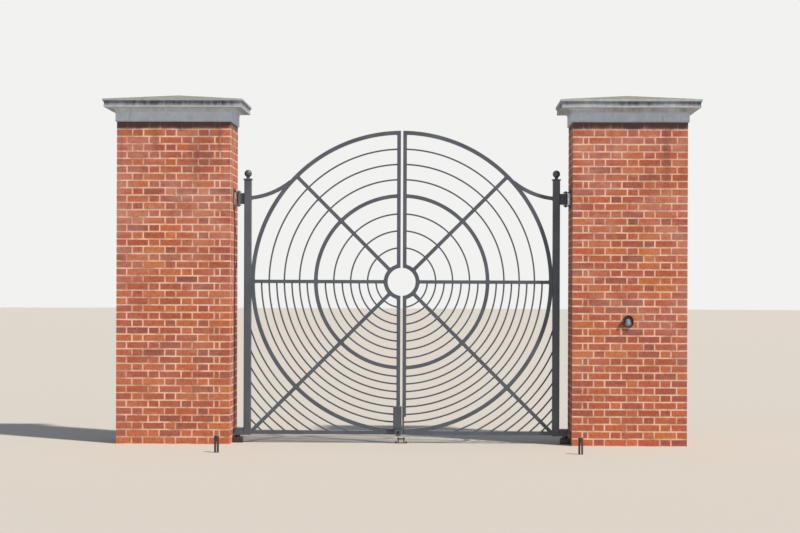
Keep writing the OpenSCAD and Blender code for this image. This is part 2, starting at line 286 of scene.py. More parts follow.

# %% [markdown]
# ## Fired clay and mortar
# The bricks are soft-mud facing bricks, fired orange-red, with a few hotter ones gone purple and
# some paler ones. Clay is matt and its colour wanders inside one brick, because the fire does not
# reach it evenly. Each brick carries a number from 0 to 1 that picks its firing, and a noise with
# spots of about 30 mm moves that colour inside the brick. Under the stone cap the top course is
# darkened: partly by soot from rain that drips from the moulding, partly by painted shade of the cap.

# %% Soot and painted shade under the cap
RUNS_START, RUNS_FADE = 0.3, 1.1
brick_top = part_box("left_pier")[1][2]


def sooted_and_shaded(tree, place, colour, output):
    """Darkens a colour over the top course, as soot and as painted shade of the cap, and in faint soot
    runs over the metre below it.
    """
    height = add_node(tree, "ShaderNodeSeparateXYZ", {}, {0: (place, "Object")})
    patch = add_node(tree, "ShaderNodeTexNoise", {"Scale": 1 / 0.15, "Detail": 4.0},
                     {"Vector": (place, "Object")})
    uneven = add_node(tree, "ShaderNodeMath", {"operation": "MULTIPLY_ADD", 1: 0.14},
                      {0: (patch, "Fac"), 2: (height, "Z")})
    # The top course: soot, and painted shade of the cap's overhang
    soot_and_shade_band = add_node(tree, "ShaderNodeMapRange",
                    {"From Min": brick_top - 0.01, "From Max": brick_top + 0.03, "To Max": 0.85},
                    {"Value": (uneven, "Value")})
    # Runs about 60 mm wide and ten times as long
    upright = add_node(tree, "ShaderNodeMapping", {"Scale": (1, 1, 0.1)}, {"Vector": (place, "Object")})
    run = add_node(tree, "ShaderNodeTexNoise", {"Scale": 1 / 0.12, "Detail": 3.0},
                   {"Vector": (upright, "Vector")})
    streak = add_node(tree, "ShaderNodeMapRange", {"From Min": 0.56, "From Max": 0.72, "To Max": 0.5},
                      {"Value": (run, "Fac")})
    reach = add_node(tree, "ShaderNodeMapRange",
                     {"From Min": brick_top - RUNS_FADE, "From Max": brick_top - RUNS_START},
                     {"Value": (height, "Z")})
    runs = add_node(tree, "ShaderNodeMath", {"operation": "MULTIPLY"},
                    {0: (streak, "Result"), 1: (reach, "Result")})
    amount = add_node(tree, "ShaderNodeMath", {"operation": "MAXIMUM"},
                      {0: (soot_and_shade_band, "Result"), 1: (runs, "Value")})
    # Purple-grey of soot and of painted shade under the cap
    return add_node(tree, "ShaderNodeMix", {"data_type": "RGBA", 7: linear("#57474a")},
                    {0: (amount, "Value"), 6: (colour, output)})


print("the brickwork is", round(brick_top, 3), "metres high")


# %% Salts and smeared lime
def limed(tree, place, colour, output):
    """Lime smeared by the trowel, in patches about 120 mm across."""
    patch = add_node(tree, "ShaderNodeTexNoise",
                     {"Scale": 1 / 0.12, "Detail": 5.0, "Roughness": 0.65}, {"Vector": (place, "Object")})
    smear = add_node(tree, "ShaderNodeValToRGB",
                     {"stops": [(0.56, "#000000"), (0.78, "#8a8a8a")]}, {0: (patch, "Fac")})
    return add_node(tree, "ShaderNodeMix", {"data_type": "RGBA", 7: linear("#cfa18b")},
                    {0: (smear, "Color"), 6: (colour, output)})


def salted(tree, place, colour, output):
    """Salts that the wall has sweated out: pale patches half a metre wide, most near the top."""
    flat = add_node(tree, "ShaderNodeMapping", {"Scale": (1, 1, 2)}, {"Vector": (place, "Object")})
    bloom = add_node(tree, "ShaderNodeTexNoise", {"Scale": 1 / 0.5, "Detail": 6.0, "Roughness": 0.7},
                     {"Vector": (flat, "Vector")})
    salt = add_node(tree, "ShaderNodeMapRange", {"From Min": 0.46, "From Max": 0.70, "To Max": 0.62},
                    {"Value": (bloom, "Fac")})
    height = add_node(tree, "ShaderNodeSeparateXYZ", {}, {0: (place, "Object")})
    age = add_node(tree, "ShaderNodeMapRange", {"From Min": 0.4, "From Max": 2.6, "To Min": 0.25},
                   {"Value": (height, "Z")})
    amount = add_node(tree, "ShaderNodeMath", {"operation": "MULTIPLY"},
                      {0: (salt, "Result"), 1: (age, "Result")})
    return add_node(tree, "ShaderNodeMix", {"data_type": "RGBA", 7: linear("#c2958a")},
                    {0: (amount, "Value"), 6: (colour, output)})


print("lime, salts and soot can be laid over a colour")


# %% Brick and mortar finishes
def fired_clay():
    # Fired clay: rough and without gloss, so it looks the same from all sides
    material, tree, shader = new_material("fired_clay", "#b96c53", Roughness=0.92)
    shader.inputs["Specular IOR Level"].default_value = 0.25
    place = add_node(tree, "ShaderNodeTexCoord")
    firing = add_node(tree, "ShaderNodeAttribute", {"attribute_name": "firing"})
    colour = add_node(tree, "ShaderNodeValToRGB", {"stops": [
        (0.0, "#9c5c52"), (0.07, "#a86253"), (0.25, "#b4614a"), (0.5, "#bc6850"),
        (0.75, "#c46d4e"), (0.93, "#c97550"), (1.0, "#ce7c4b")]}, {0: (firing, "Fac")})
    cloud = add_node(tree, "ShaderNodeTexNoise",
                     {"Scale": 1 / 0.030, "Detail": 4.0, "Roughness": 0.6}, {"Vector": (place, "Object")})
    light = add_node(tree, "ShaderNodeValToRGB",
                     {"stops": [(0.25, "#a8a8a8"), (0.5, "#dcdcdc"), (0.8, "#ffffff")]},
                     {0: (cloud, "Fac")})
    mottled = add_node(tree, "ShaderNodeMix",
                       {"data_type": "RGBA", "blend_type": "MULTIPLY", 0: 0.75},
                       {6: (colour, "Color"), 7: (light, "Color")})
    pale = salted(tree, place, limed(tree, place, mottled, 2), 2)
    # Soot and painted shade of the cap over the top course
    dirty_and_shaded = sooted_and_shaded(tree, place, pale, 2)
    tree.links.new(dirty_and_shaded.outputs[2], shader.inputs["Base Color"])
    # Drag marks and grit of the fired face, 2 to 5 mm
    grit = add_node(tree, "ShaderNodeTexNoise",
                    {"Scale": 1 / 0.004, "Detail": 3.0, "Roughness": 0.7}, {"Vector": (place, "Object")})
    relief = add_node(tree, "ShaderNodeBump", {"Strength": 0.6, "Distance": 1.0 * MM},
                      {"Height": (grit, "Fac")})
    tree.links.new(relief.outputs["Normal"], shader.inputs["Normal"])
    return material


def lime_mortar():
    # Sand and lime: pale, rough, with grains of 1 to 2 mm drawn as 3 mm so that they show
    material, tree, shader = new_material("lime_mortar", "#d5ae98", Roughness=0.97)
    shader.inputs["Specular IOR Level"].default_value = 0.2
    place = add_node(tree, "ShaderNodeTexCoord")
    tint = add_node(tree, "ShaderNodeTexNoise",
                     {"Scale": 1 / 0.16, "Detail": 6.0, "Roughness": 0.65}, {"Vector": (place, "Object")})
    colour = add_node(tree, "ShaderNodeValToRGB", {"stops": [
        (0.30, "#a37663"), (0.43, "#c69b86"), (0.56, "#dab5a2"), (0.75, "#e4c6b5")]},
        {0: (tint, "Fac")})
    # Soot and painted shade of the cap over the top course
    dirty_and_shaded = sooted_and_shaded(tree, place, colour, "Color")
    tree.links.new(dirty_and_shaded.outputs[2], shader.inputs["Base Color"])
    sand = add_node(tree, "ShaderNodeTexNoise", {"Scale": 1 / 0.003, "Detail": 2.0},
                    {"Vector": (place, "Object")})
    relief = add_node(tree, "ShaderNodeBump", {"Strength": 0.7, "Distance": 0.8 * MM},
                      {"Height": (sand, "Fac")})
    tree.links.new(relief.outputs["Normal"], shader.inputs["Normal"])
    return material


clay, mortar = fired_clay(), lime_mortar()
print("finishes:", clay.name, mortar.name)

# %% [markdown]
# ## The bricks
# A pier could be one box with painted joints, but from close by a painted joint has no depth.
# So each size of brick is modelled once, with its edges worn round, and then laid course by
# course. Long and short faces alternate in each course, and alternate courses are shifted, which
# is what locks the four sides of a pier together. A narrow brick next to the corner makes the
# shift work out. The worn edges of a brick are smeared with mortar, so they get the mortar's
# finish, and a joint looks a little wider than the 10 mm that it is.

# %% One brick of each size
COURSE, JOINT, BRICK_HEIGHT, HALF, LONG = 75, 10, 65, 102.5, 215
CLOSER, THREE_QUARTER = 46.25, 158.75
WORN_EDGE, SQUARE_ON = 3, 0.99


def make_brick(name, length, width):
    brick = block(name, (length, width, BRICK_HEIGHT), (0, 0, 0), WORN_EDGE)
    brick.data.materials.append(clay)
    brick.data.materials.append(mortar)
    for face in brick.data.polygons:
        face.material_index = 0 if max(abs(v) for v in face.normal) > SQUARE_ON else 1
    return brick


bricks = {
    (LONG, HALF): make_brick("whole_brick", LONG, HALF),
    (CLOSER, LONG): make_brick("closer_brick", CLOSER, LONG),
    (THREE_QUARTER, HALF): make_brick("three_quarter_brick", THREE_QUARTER, HALF),
}
print(len(bricks), "brick sizes of", len(bricks[(LONG, HALF)].data.polygons), "faces each")

# %% Where the bricks of one course lie
# A row lists the widths seen from the front, starting at the gateway, and the depths behind them.
# A side lists the bricks between the front and the back row. In no face do the upright joints of
# two courses meet, because a straight joint would let the pier split.
EVEN_ROW = [(LONG, HALF), (HALF, LONG), (LONG, HALF), (HALF, LONG), (LONG, HALF), (HALF, LONG),
            (THREE_QUARTER, HALF)]
ODD_ROW = [(HALF, LONG), (CLOSER, LONG), (LONG, HALF), (HALF, LONG), (LONG, HALF), (HALF, LONG),
           (LONG, HALF), (HALF, LONG)]
EVEN_SIDE = [(LONG, CLOSER), (LONG, HALF), (HALF, THREE_QUARTER)]
ODD_SIDE = [(LONG, HALF), (HALF, LONG)]
WIDE, DEEP = 1171, 665


def course(number):
    """Bricks of a course as (centre x, centre y, width, depth), from the front inner corner."""
    front, back = (EVEN_ROW, ODD_ROW) if number % 2 == 0 else (ODD_ROW, EVEN_ROW)
    laid = []
    for row, at_back in ((front, False), (back, True)):
        x = 0
        for width, depth in row:
            y = DEEP - depth / 2 if at_back else depth / 2
            laid.append((x + width / 2, y, width, depth))
            x += width + JOINT
    first = front[0][1] + JOINT
    for width, depth in EVEN_SIDE if number % 2 == 0 else ODD_SIDE:
        for x in (width / 2, WIDE - width / 2):
            laid.append((x, first + depth / 2, width, depth))
        first += depth + JOINT
    return laid


print(len(course(0)), "and", len(course(1)), "bricks in a course")

# %% Mortar behind the faces
JOINT_DEPTH, CORE_CUTS = 2, 12


def mortar_core(low, high):
    """A block of mortar just behind the faces of a pier, cut into small faces."""
    deselect()
    bpy.ops.mesh.primitive_cube_add(size=1, location=(low + high) / 2)
    core = bpy.context.object
    core.scale = high - low - np.array([1, 1, 0]) * 2 * JOINT_DEPTH * MM
    settle(core)
    bpy.ops.object.mode_set(mode="EDIT")
    bpy.ops.mesh.select_all(action="SELECT")
    bpy.ops.mesh.subdivide(number_cuts=CORE_CUTS)
    bpy.ops.object.mode_set(mode="OBJECT")
    return core


print("joints are raked", JOINT_DEPTH, "mm deep")

# %% Lay both piers
CORNER_WANDER, BRICK_LEAN = 0.5, 0.004


def brickwork(name, side, seed):
    """One pier: its courses on a mortar core that sits just behind the faces."""
    low, high = (np.array(corner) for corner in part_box(side + "_pier"))
    chance = np.random.default_rng(seed)
    points, faces, firing, finish = [], [], [], []
    count = 0
    for number in range(round((high[2] - low[2]) / (COURSE * MM))):
        for x, y, width, depth in course(number):
            crossways = (width, depth) not in bricks
            master = bricks[(depth, width) if crossways else (width, depth)].data
            shape = np.array([v.co for v in master.vertices])
            if crossways:
                shape = shape[:, [1, 0, 2]] * [1, -1, 1]
            # A brick is never quite true: its corners wander, and it leans a little
            shape += chance.normal(0, CORNER_WANDER * MM, shape.shape)
            shape[:, 2] += shape[:, 0] * chance.normal(0, BRICK_LEAN)
            across = high[0] - x * MM if side == "left" else low[0] + x * MM
            shape += [across, low[1] + y * MM, low[2] + (number + 0.5) * COURSE * MM]
            shape = np.clip(shape, low, high)
            points.append(shape)
            faces += [[i + count for i in f.vertices] for f in master.polygons]
            firing += [chance.random()] * len(shape)
            finish += [f.material_index for f in master.polygons]
            count += len(shape)
    core = mortar_core(low, high)
    points.append(np.array([v.co for v in core.data.vertices]))
    faces += [[i + count for i in f.vertices] for f in core.data.polygons]
    firing += [0.5] * len(core.data.vertices)
    finish += [1] * len(core.data.polygons)
    bpy.data.objects.remove(core)

    mesh = bpy.data.meshes.new(name)
    mesh.from_pydata(np.concatenate(points).tolist(), [], faces)
    mesh.attributes.new("firing", "FLOAT", "POINT").data.foreach_set("value", firing)
    mesh.materials.append(clay)
    mesh.materials.append(mortar)
    mesh.polygons.foreach_set("material_index", finish)
    pier = bpy.data.objects.new(name, mesh)
    bpy.context.scene.collection.objects.link(pier)
    return hand_over(pier, "gateway", stands_for=[side + "_pier"])


for side, seed in (("left", 4), ("right", 9)):
    brickwork(side + "_brickwork", side, seed)
for master in bricks.values():
    bpy.data.objects.remove(master)

# %% [markdown]
# ## Weathered cap stone
# The caps are dense, pale limestone. Rain drips past the hollow moulding of the edge and never
# washes it, so soot stays there in upright streaks. Under the top fillet it is darkest, as soot and
# as painted shade of the fillet. Grey lichen and moss grow on the slopes. The block below is
# sheltered and stays cleaner. Its pale blue-grey is partly painted skylight of the shade it stands
# in. Its cove carries a warm painted bounce light from the ground, and its foot the same warm colour
# more faintly. So soot and painted light follow the height across the moulding, through a ramp, and
# a noise stretched ten times in height breaks them into streaks.

# %% Soot and painted light on a cap
def streaked_with_painted_light(tree, place, base, tint, node_name, soot_and_painted_light_by_height):
    """Lays a colour of soot and painted light over a colour by height within a block: black in the ramp is
    none, white is all.
    """
    foot, top = (corner[2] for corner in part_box(node_name))
    height = add_node(tree, "ShaderNodeSeparateXYZ", {}, {0: (place, "Object")})
    share = add_node(tree, "ShaderNodeMapRange", {"From Min": foot, "From Max": top},
                     {"Value": (height, "Z")})
    soot_and_painted_light = add_node(tree, "ShaderNodeValToRGB", {"stops": soot_and_painted_light_by_height}, {0: (share, "Result")})
    # Streaks about 25 mm wide, of which the strongest run on below
    upright = add_node(tree, "ShaderNodeMapping", {"Scale": (1, 1, 0.1)}, {"Vector": (place, "Object")})
    run = add_node(tree, "ShaderNodeTexNoise", {"Scale": 1 / 0.05, "Detail": 4.0, "Roughness": 0.7},
                   {"Vector": (upright, "Vector")})
    uneven = add_node(tree, "ShaderNodeMapRange", {"From Min": 0.35, "From Max": 0.62, "To Min": 0.5},
                      {"Value": (run, "Fac")})
    # Soot and painted light are thick in places about half a metre long and thin between them
    spread = add_node(tree, "ShaderNodeTexNoise", {"Scale": 1 / 0.45, "Detail": 1.0},
                      {"Vector": (place, "Object")})
    thick = add_node(tree, "ShaderNodeMapRange", {"From Min": 0.38, "From Max": 0.56, "To Min": 0.45},
                     {"Value": (spread, "Fac")})
    patchy = add_node(tree, "ShaderNodeMath", {"operation": "MULTIPLY"},
                      {0: (uneven, "Result"), 1: (thick, "Result")})
    patchy_soot_and_painted_light = add_node(tree, "ShaderNodeMath", {"operation": "MULTIPLY"},
                     {0: (soot_and_painted_light, "Color"), 1: (patchy, "Value")})
    leak = add_node(tree, "ShaderNodeMapRange", {"From Min": 0.58, "From Max": 0.74, "To Max": 0.6},
                    {"Value": (run, "Fac")})
    amount = add_node(tree, "ShaderNodeMath", {"operation": "MAXIMUM"},
                      {0: (patchy_soot_and_painted_light, "Value"), 1: (leak, "Result")})
    return add_node(tree, "ShaderNodeMix", {"data_type": "RGBA", 7: linear(tint)},
                    {0: (amount, "Value"), 6: (base, "Color")})


print("soot can be laid over a cap")


# %% Lichen on the slopes
def lichened(tree, place, streaks_and_painted_light):
    """Lichen wherever a face looks up, with moss in spots of 70 mm."""
    surface = add_node(tree, "ShaderNodeNewGeometry")
    direction = add_node(tree, "ShaderNodeSeparateXYZ", {}, {0: (surface, "Normal")})
    upward = add_node(tree, "ShaderNodeMapRange", {"From Min": 0.55, "From Max": 0.95},
                      {"Value": (direction, "Z")})
    spots = add_node(tree, "ShaderNodeTexNoise", {"Scale": 1 / 0.07, "Detail": 8.0, "Roughness": 0.75},
                     {"Vector": (place, "Object")})
    growth = add_node(tree, "ShaderNodeValToRGB",
                      {"stops": [(0.35, "#999d93"), (0.5, "#81867a"), (0.66, "#626858")]},
                      {0: (spots, "Fac")})
    return add_node(tree, "ShaderNodeMix", {"data_type": "RGBA"},
                    {0: (upward, "Result"), 6: (streaks_and_painted_light, 2), 7: (growth, "Color")})


print("lichen can grow on what looks up")


# %% The finish of a cap
def cap_stone(name, clean, dull, tint, node_name, soot_and_painted_light_by_height):
    # Weathered limestone: matt, slightly gritty, with clouds of 80 mm
    material, tree, shader = new_material(name, clean, Roughness=0.9)
    shader.inputs["Specular IOR Level"].default_value = 0.3
    place = add_node(tree, "ShaderNodeTexCoord")
    cloud = add_node(tree, "ShaderNodeTexNoise",
                     {"Scale": 1 / 0.08, "Detail": 6.0, "Roughness": 0.65}, {"Vector": (place, "Object")})
    base = add_node(tree, "ShaderNodeValToRGB", {"stops": [(0.3, dull), (0.62, clean)]},
                    {0: (cloud, "Fac")})
    streaks_and_painted_light = streaked_with_painted_light(tree, place, base, tint, node_name, soot_and_painted_light_by_height)
    mossy = lichened(tree, place, streaks_and_painted_light)
    tree.links.new(mossy.outputs[2], shader.inputs["Base Color"])
    pits = add_node(tree, "ShaderNodeTexNoise", {"Scale": 1 / 0.006, "Detail": 4.0, "Roughness": 0.7},
                    {"Vector": (place, "Object")})
    relief = add_node(tree, "ShaderNodeBump", {"Strength": 0.6, "Distance": 1.2 * MM},
                      {"Height": (pits, "Fac")})
    tree.links.new(relief.outputs["Normal"], shader.inputs["Normal"])
    return material


def dress(node_names, material):
    """Gives CAD nodes their finish."""
    for name in node_names:
        nodes[name].data.materials.clear()
        nodes[name].data.materials.append(material)
    print(material.name, "on", len(node_names), "nodes")


# %% Four finishes for two caps
# The caps haven't aged alike: the right slab is cleaner, above all on its fillet, and the warm
# painted bounce light in the cove under it is browner. Each block has the colours of clean stone,
# dull stone and the tint laid over them, and a ramp of that tint by height. In the slabs the tint
# is soot, with painted shade in the hollow under the top fillet. In the friezes it is a warm painted
# bounce light, and their clean and dull colours are made blue as painted skylight.
CAP_FINISHES = {
    # Slabs: the high middle of the ramp is the hollow under the top fillet, soot with painted shade
    "left_cap_slab": ("rain_streaked_limestone_with_painted_shade", "#b0b6c0", "#979ea8", "#30353c", [
        (0.07, "#242424"), (0.10, "#c8c8c8"), (0.16, "#f0f0f0"), (0.38, "#f0f0f0"),
        (0.43, "#909090"), (0.50, "#7c7c7c")]),
    "right_cap_slab": ("rain_washed_limestone_with_painted_shade", "#b4bac2", "#9ca3ac", "#30353c", [
        (0.07, "#242424"), (0.10, "#c8c8c8"), (0.16, "#f4f4f4"), (0.34, "#f4f4f4"),
        (0.38, "#707070"), (0.46, "#303030")]),
    # Friezes: the blue clean and dull colours are painted skylight, and the warm tint high in the ramp is
    # painted bounce light in the cove
    "left_cap_frieze": ("limestone_in_painted_skylight_and_bounce", "#dbe7f4", "#c6d3e0", "#9e9387", [
        (0.03, "#b0b0b0"), (0.15, "#000000"), (0.66, "#000000"), (0.90, "#dcdcdc")]),
    "right_cap_frieze": ("limestone_in_painted_skylight_and_brown_bounce", "#d6e1ee", "#c2cfdc", "#84715f", [
        (0.03, "#b0b0b0"), (0.15, "#000000"), (0.60, "#000000"), (0.86, "#f0f0f0")]),
}

for node_name, (name, clean, dull, tint, soot_and_painted_light_by_height) in CAP_FINISHES.items():
    dress([node_name], cap_stone(name, clean, dull, tint, node_name, soot_and_painted_light_by_height))

# %% [markdown]
# ## Satin paint on steel
# The leaves are mild steel bar and box section under sprayed satin paint, dark grey with a hint
# of blue. Sprayed paint has a fine orange-peel skin, collects pale dust on its upper faces, and
# lets rust through as small brown specks. Paint is not a metal to the eye, so metallic stays 0.
# What stands on the ground is splashed with rain and grit. Its paint is older, so it is browner
# and more rusted, and darker: partly from age, partly as painted shade. One function makes both paints.

# %% Paint finish
def sprayed_paint(name, dark, middle, pale, rust_from):
    """Satin paint with rust where a noise from 0 to 1 passes rust_from."""
    material, tree, shader = new_material(name, middle, Roughness=0.45)
    place = add_node(tree, "ShaderNodeTexCoord")
    fade = add_node(tree, "ShaderNodeTexNoise",
                    {"Scale": 1 / 0.25, "Detail": 4.0, "Roughness": 0.6}, {"Vector": (place, "Object")})
    base = add_node(tree, "ShaderNodeValToRGB",
                    {"stops": [(0.3, dark), (0.7, pale)]}, {0: (fade, "Fac")})
    surface = add_node(tree, "ShaderNodeNewGeometry")
    direction = add_node(tree, "ShaderNodeSeparateXYZ", {}, {0: (surface, "Normal")})
    upward = add_node(tree, "ShaderNodeMapRange",
                      {"From Min": 0.6, "From Max": 1.0, "To Max": 0.5}, {"Value": (direction, "Z")})
    dusty = add_node(tree, "ShaderNodeMix", {"data_type": "RGBA", 7: linear("#8b8a84")},
                     {0: (upward, "Result"), 6: (base, "Color")})
    # Rust specks 5 to 10 mm across
    specks = add_node(tree, "ShaderNodeTexNoise",
                      {"Scale": 1 / 0.018, "Detail": 6.0, "Roughness": 0.7}, {"Vector": (place, "Object")})
    speck_mask = add_node(tree, "ShaderNodeMapRange",
                          {"From Min": rust_from, "From Max": rust_from + 0.06},
                          {"Value": (specks, "Fac")})
    rusty = add_node(tree, "ShaderNodeMix", {"data_type": "RGBA", 7: linear("#6b4632")},
                     {0: (speck_mask, "Result"), 6: (dusty, 2)})
    tree.links.new(rusty.outputs[2], shader.inputs["Base Color"])
    gloss = add_node(tree, "ShaderNodeMapRange", {"To Min": 0.32, "To Max": 0.85},
                     {"Value": (speck_mask, "Result")})
    tree.links.new(gloss.outputs["Result"], shader.inputs["Roughness"])
    peel = add_node(tree, "ShaderNodeTexNoise", {"Scale": 1 / 0.004, "Detail": 2.0},
                    {"Vector": (place, "Object")})
    relief = add_node(tree, "ShaderNodeBump", {"Strength": 0.25, "Distance": 0.2 * MM},
                      {"Height": (peel, "Fac")})
    tree.links.new(relief.outputs["Normal"], shader.inputs["Normal"])
    return material


paint = sprayed_paint("satin_grey_paint", "#434a53", "#4b525c", "#525a65", 0.70)
# Older, rustier paint, darkened further as painted shade of the parts low in the gateway
old_paint_and_shade = sprayed_paint("old_dark_paint_with_painted_shade", "#242122", "#2e2928", "#3d3532", 0.60)
on_the_ground = ["stop_posts", "pivot_bases", "centre_keep"]
steel = [n["node"] for n in frame["record"]["subparts"] if n["material_slot"] == "painted_steel"]
dress([name for name in steel if name not in on_the_ground], paint)
dress(on_the_ground, old_paint_and_shade)

# %% [markdown]
# ## Bolts
# The hinge plates are bolted to the brickwork, and the pivot blocks and the keep to the ground.
# An ordinary bolt shows a hexagonal head, chamfered at its corners, on a round washer. One is
# made by extruding a hexagon and a circle, and then copied to every corner.

# %% One hexagon bolt
WASHER, HEAD = [(12, 0), (12, 2), (11.2, 2.6)], [(11, 2.6), (11, 9), (9, 10)]
bolt = join([turned("washer", WASHER, 24), turned("bolt_head", HEAD, 6)], "bolt")
print("a bolt has", len(bolt.data.polygons), "faces")


# %% Bolts at the corners of plates
def hinge_axis(side):
    """How far right the axis of a leaf lies, in metres."""
    joints = frame["record"]["behaviour"]["joints"]
    return next(joint["pos_m"][0] for joint in joints if joint["child"] == side + "_leaf")


def bolts(name, middle, half, facing, finish):
    """Four bolts, half a plate's bolt spacing away from its middle, on a face that looks one way."""
    turn = Vector(facing).to_track_quat("Z", "Y").to_matrix().to_4x4()
    across = [i for i in range(3) if not facing[i]]
    copies = []
    for first in (-1, 1):
        for second in (-1, 1):
            place = Vector(middle)
            place[across[0]] += first * half[0] * MM
            place[across[1]] += second * half[1] * MM
            copies.append(copy_at(bolt, Matrix.Translation(place) @ turn))
    return hand_over(join(copies, name), "gateway", finish)


print("bolts go on four corners at a time")

# %% Bolts on hinges, pivots and keep
PLATE, BLOCK, KEEP = 12, 50, 8
ON_HINGE, ON_PIVOT, ON_KEEP = (38, 86), (38, 40), (52, 28)

for side, inwards in (("left", 1), ("right", -1)):
    pier_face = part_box(side + "_pier")[1 if side == "left" else 0][0]
    low, high = corners_of(side + "_hinge_bracket")
    hinge_z = (low.z + high.z) / 2
    bolts(side + "_hinge_bolts", (pier_face + inwards * PLATE * MM, 0, hinge_z), ON_HINGE,
          (inwards, 0, 0), paint)
    bolts(side + "_pivot_bolts", (hinge_axis(side), 0, BLOCK * MM), ON_PIVOT, (0, 0, 1), old_paint_and_shade)
bolts("keep_bolts", (0, 0, KEEP * MM), ON_KEEP, (0, 0, 1), old_paint_and_shade)
bpy.data.objects.remove(bolt)

# %% [markdown]
# ## The pin of the keep
# Between the two ears of the keep, in the photograph, lies a dark bar. It is taken for a round
# pin with a head at each end, which a hook or a padlock can hold. Like a pin from a lathe, it is
# one profile, turned about Z and then laid across the gateway.

# %% A headed pin
PIN_Z = 44
KEEP_PIN = [(8, -39), (9.5, -38), (9.5, -35), (7, -35), (7, 35), (9.5, 35), (9.5, 38), (8, 39)]

headed = turned("keep_pin", KEEP_PIN, 24)
across_gateway = Matrix.Rotation(math.radians(90), 4, "Y")
headed.data.transform(Matrix.Translation((0, 0, PIN_Z * MM)) @ across_gateway)
hand_over(headed, "gateway", old_paint_and_shade)

# %% [markdown]
# ## Caps on the hinge pins
# The pin of the top hinge is headed over at both ends, so that it can't drop out. A low dome
# is turned once and set on each end of both pins. The lower one is the same dome turned over.

# %% Pin caps
PIN_REACH = 74
PIN_CAP = [(14, 0), (14, 2), (13, 5), (10.5, 7.5), (6, 9.3), (1, 10)]

cap = turned("pin_cap", PIN_CAP, 32)
for side in ("left", "right"):
    axis = hinge_axis(side)
    low, high = corners_of(side + "_hinge_bracket")
    hinge_z = (low.z + high.z) / 2
    turned_over = Matrix.Rotation(math.radians(180), 4, "X")
    caps = [copy_at(cap, Matrix.Translation((axis, 0, hinge_z + PIN_REACH * MM))),
            copy_at(cap, Matrix.Translation((axis, 0, hinge_z - PIN_REACH * MM)) @ turned_over)]
    hand_over(join(caps, side + "_pin_caps"), "gateway", paint)
bpy.data.objects.remove(cap)

# %% [markdown]
# ## Ball finials
# Each heel stile ends in a square plate, a short waisted neck and a ball. A turner would cut neck
# and ball from one bar, so here too they are one profile: the neck listed point by point, and the
# ball from the formula of a circle. The plate is a block with rounded edges.

# %% One finial, copied to both leaves
BALL_R, BALL_Z, LEAVES_NECK, BALL_STEP = 39, 66, 33, 7
NECK = [(25, 12), (25, 15), (20, 18), (16.5, 22), (16.5, 26), (19, 31)]
PLATE_SIDE, PLATE_THICK, PLATE_ROUNDING = 93, 12, 2

ball = [
    (BALL_R * math.sin(math.radians(a)), BALL_Z - BALL_R * math.cos(math.radians(a)))
    for a in range(LEAVES_NECK, 180, BALL_STEP)
]
finial = join([
    turned("ball", NECK + ball + [(1, BALL_Z + BALL_R)], 40),
    block("cap_plate", (PLATE_SIDE, PLATE_SIDE, PLATE_THICK), (0, 0, PLATE_THICK / 2),
          PLATE_ROUNDING, segments=2)], "finial")
for side in ("left", "right"):
    low, high = corners_of(side + "_ball_finial")
    foot = Vector(((low.x + high.x) / 2, (low.y + high.y) / 2, low.z))
    topped = copy_at(finial, Matrix.Translation(foot))
    topped.name = side + "_finial"
    hand_over(topped, side + "_leaf", paint, [side + "_ball_finial"])
bpy.data.objects.remove(finial)

# %% [markdown]
# ## Lock and strike
# The lock is a welded steel case with a lid held by four screws, and below it a thick round eye
# that drops between the ears of the keep, where a padlock or a bolt can hold it. The case starts
# as a rounded block, its lid is an inset face that is drawn out a little, and the eye's hole is
# cut with a Boolean modifier. The strike on the other leaf is a plain rounded block with screws.

# %% Cutting and rounding
TOOL_ROUNDING, EDGE_SEGMENTS, SHARP_FROM = 0.2, 3, math.radians(40)


def cut(piece, tool, operation="DIFFERENCE"):
    """Cuts a piece with a tool, or welds the two together."""
    pick(piece)
    change = piece.modifiers.new("cut", "BOOLEAN")
    change.operation, change.object, change.solver = operation, tool, "EXACT"
    bpy.ops.object.modifier_apply(modifier=change.name)
    bpy.data.objects.remove(tool)


def rounded_edges(piece, rounding):
    """Rounds the sharp edges of a piece that has been cut."""
    pick(piece)
    change = piece.modifiers.new("edges", "BEVEL")
    change.width, change.segments = rounding * MM, EDGE_SEGMENTS
    change.limit_method, change.angle_limit = "ANGLE", SHARP_FROM
    bpy.ops.object.modifier_apply(modifier=change.name)
    bpy.ops.object.shade_smooth_by_angle(angle=SMOOTH_ANGLE)
    return piece


print("a piece can be cut by another and have its edges rounded")


# %% Screws and a round eye
SCREW, SCREW_SLOT = [(5.5, 0), (5.5, 1), (4.6, 2.4), (2.4, 3.4)], (12, 1.4, 3)
EYE_ROUNDING, NECK_ROUNDING = 4, 0.1


def screws(places):
    """Round-headed screws with a slot, facing the front."""
    head = turned("screw", SCREW, 20)
    cut(head, block("slot", SCREW_SLOT, (0, 0, SCREW[-1][1]), TOOL_ROUNDING))
    turn = Vector((0, -1, 0)).to_track_quat("Z", "Y").to_matrix().to_4x4()
    copies = [copy_at(head, Matrix.Translation(place) @ turn) for place in places]
    bpy.data.objects.remove(head)
    return copies


def lock_eye(centre, radius, thick, hole, neck):
    """Round eye with its axis along Y, and a neck that reaches up into the case."""
    deselect()
    bpy.ops.mesh.primitive_cylinder_add(vertices=48, radius=radius * MM, depth=thick * MM,
                                        location=centre, rotation=(math.radians(90), 0, 0))
    eye = settle(bpy.context.object)
    eye.name = "eye"
    x, y, z = (v / MM for v in centre)
    cut(eye, block("neck", (2 * radius, thick, neck), (x, y, z + neck / 2), NECK_ROUNDING), "UNION")
    deselect()
    bpy.ops.mesh.primitive_cylinder_add(vertices=32, radius=hole * MM, depth=2 * thick * MM,
                                        location=centre, rotation=(math.radians(90), 0, 0))
    cut(eye, settle(bpy.context.object))
    return rounded_edges(eye, EYE_ROUNDING)


print("screws and the eye can be made")

